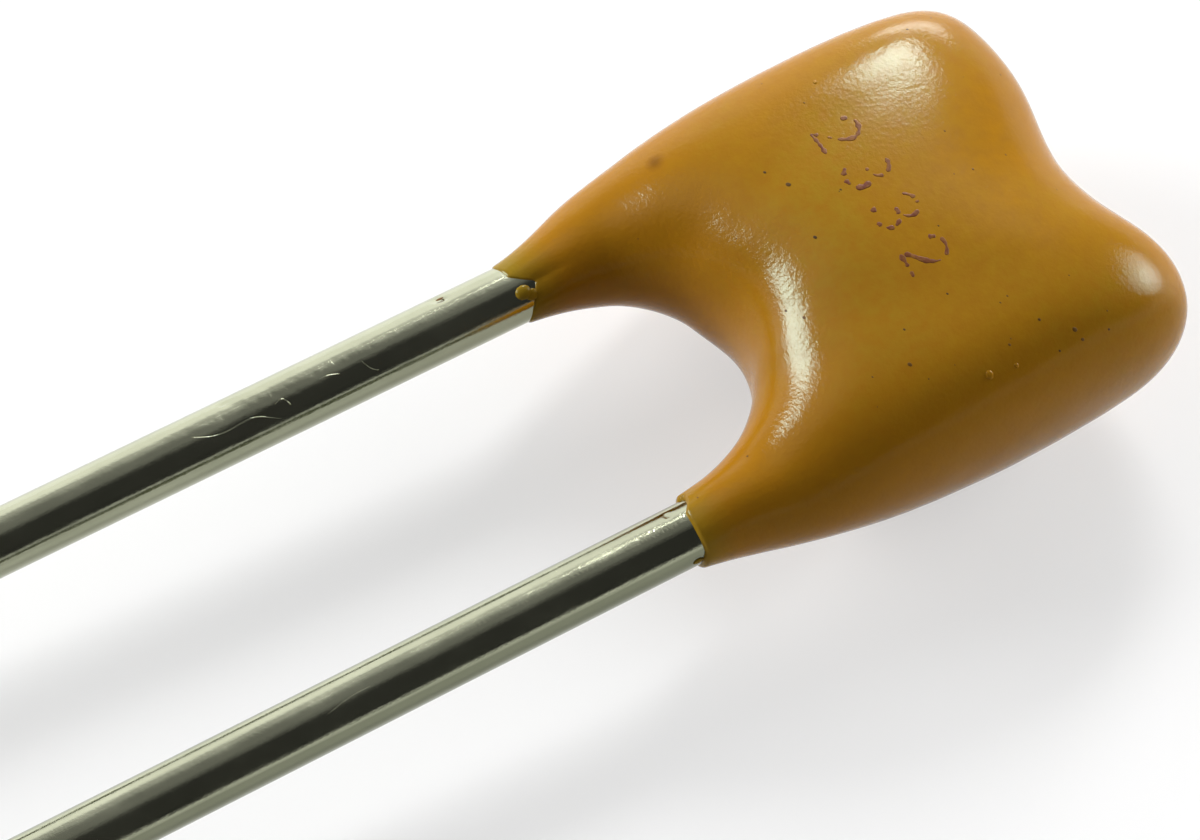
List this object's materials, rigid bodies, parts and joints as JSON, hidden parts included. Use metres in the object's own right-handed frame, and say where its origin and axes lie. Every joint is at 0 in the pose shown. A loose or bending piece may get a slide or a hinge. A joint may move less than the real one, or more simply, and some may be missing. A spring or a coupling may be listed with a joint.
{
  "type": "multilayer ceramic capacitor",
  "caption": "Epoxy-dipped multilayer ceramic capacitor with a horned mustard body, arched legs of coating and straight radial wire leads.",
  "frame": {"origin": "midway between the two leads, level with the ends of the coating on them, on the leads' axes", "axes": "+X from the left lead to the right lead, +Y from the lead tips up into the body, +Z through the body's thickness"},
  "size_m": [0.0038, 0.0299, 0.0022],
  "materials": {
    "coating": "glossy dipped epoxy",
    "lead": "bright tinned, lightly scratched",
    "ceramic": "fired, matt",
    "electrode": "fired metal",
    "termination": "fired silver, tinned",
    "solder": "solidified solder"
  },
  "bodies": {
    "root": {"epoxy_coating": "coating", "lead_left": "lead", "lead_right": "lead", "ceramic_chip": "ceramic", "electrode_left_1": "electrode", "electrode_right_1": "electrode", "electrode_left_2": "electrode", "electrode_right_2": "electrode", "electrode_left_3": "electrode", "electrode_right_3": "electrode", "electrode_left_4": "electrode", "electrode_right_4": "electrode", "electrode_left_5": "electrode", "electrode_right_5": "electrode", "electrode_left_6": "electrode", "electrode_right_6": "electrode", "termination_left": "termination", "termination_right": "termination", "solder_left": "solder", "solder_right": "solder"}
  },
  "joints": []
}
